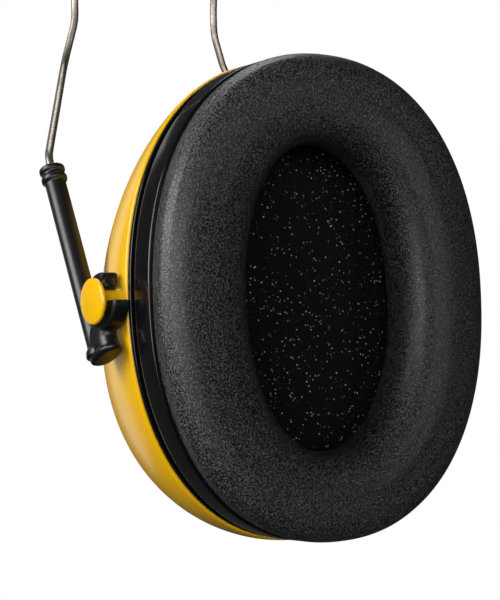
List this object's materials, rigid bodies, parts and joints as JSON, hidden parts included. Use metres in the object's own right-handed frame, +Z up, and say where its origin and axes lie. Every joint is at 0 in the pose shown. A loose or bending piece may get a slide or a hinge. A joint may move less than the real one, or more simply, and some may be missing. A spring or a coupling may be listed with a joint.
{
  "type": "hearing protection earmuffs",
  "caption": "Earmuffs with padded oval ear cups on a twin-wire spring headband; each cup tilts on clip pivots and slides on the wires for height.",
  "frame": {"origin": "middle of the head, halfway between the ear cups on their pivot axes", "axes": "+X to the wearer's left, -Y to the front, +Z up"},
  "size_m": [0.246, 0.093, 0.1873],
  "materials": {
    "yellow_plastic": "glossy moulded ABS",
    "black_gloss_plastic": "smooth glossy",
    "black_plastic": "satin moulded acetal",
    "black_vinyl": "satin fine-grained vinyl",
    "cushion_foam": "soft open-cell foam",
    "bladder_film": "soft film",
    "dark_foam": "open-cell foam",
    "spring_steel": "drawn spring wire"
  },
  "bodies": {
    "headband": {"front_wire": "spring_steel", "rear_wire": "spring_steel", "headband_sleeve": "black_vinyl", "headband_foam": "dark_foam", "headband_spreader": "black_plastic"},
    "right_front_guide": {"right_front_guide": "black_plastic"},
    "right_rear_guide": {"right_rear_guide": "black_plastic"},
    "right_cup": {"right_shell": "yellow_plastic", "right_cushion_plate": "black_gloss_plastic", "right_cushion_cover": "black_vinyl", "right_cushion_foam": "cushion_foam", "right_cushion_bladder": "bladder_film", "right_foam_liner": "dark_foam"},
    "left_front_guide": {"left_front_guide": "black_plastic"},
    "left_rear_guide": {"left_rear_guide": "black_plastic"},
    "left_cup": {"left_shell": "yellow_plastic", "left_cushion_plate": "black_gloss_plastic", "left_cushion_cover": "black_vinyl", "left_cushion_foam": "cushion_foam", "left_cushion_bladder": "bladder_film", "left_foam_liner": "dark_foam"}
  },
  "joints": [
    {"name": "right_height_slide", "type": "slide", "parent": "headband", "child": "right_front_guide", "axis": [0.4195, 0, -0.9078], "range_m": [0, 0.03]},
    {"name": "right_rear_height_slide", "type": "slide", "parent": "headband", "child": "right_rear_guide", "axis": [0.4195, 0, -0.9078], "range_m": [0, 0.03]},
    {"name": "right_cup_tilt", "type": "hinge", "parent": "right_front_guide", "child": "right_cup", "pos_m": [-0.0697, 0, 0], "axis": [0, 1, 0], "range_deg": [-20, 20]},
    {"name": "left_height_slide", "type": "slide", "parent": "headband", "child": "left_front_guide", "axis": [-0.4195, 0, -0.9078], "range_m": [0, 0.03]},
    {"name": "left_rear_height_slide", "type": "slide", "parent": "headband", "child": "left_rear_guide", "axis": [-0.4195, 0, -0.9078], "range_m": [0, 0.03]},
    {"name": "left_cup_tilt", "type": "hinge", "parent": "left_front_guide", "child": "left_cup", "pos_m": [0.0697, 0, 0], "axis": [0, 1, 0], "range_deg": [-20, 20]}
  ],
  "couplings": [
    {"joint": "right_rear_height_slide", "follows": "right_height_slide", "ratio": 1},
    {"joint": "left_rear_height_slide", "follows": "left_height_slide", "ratio": 1}
  ]
}
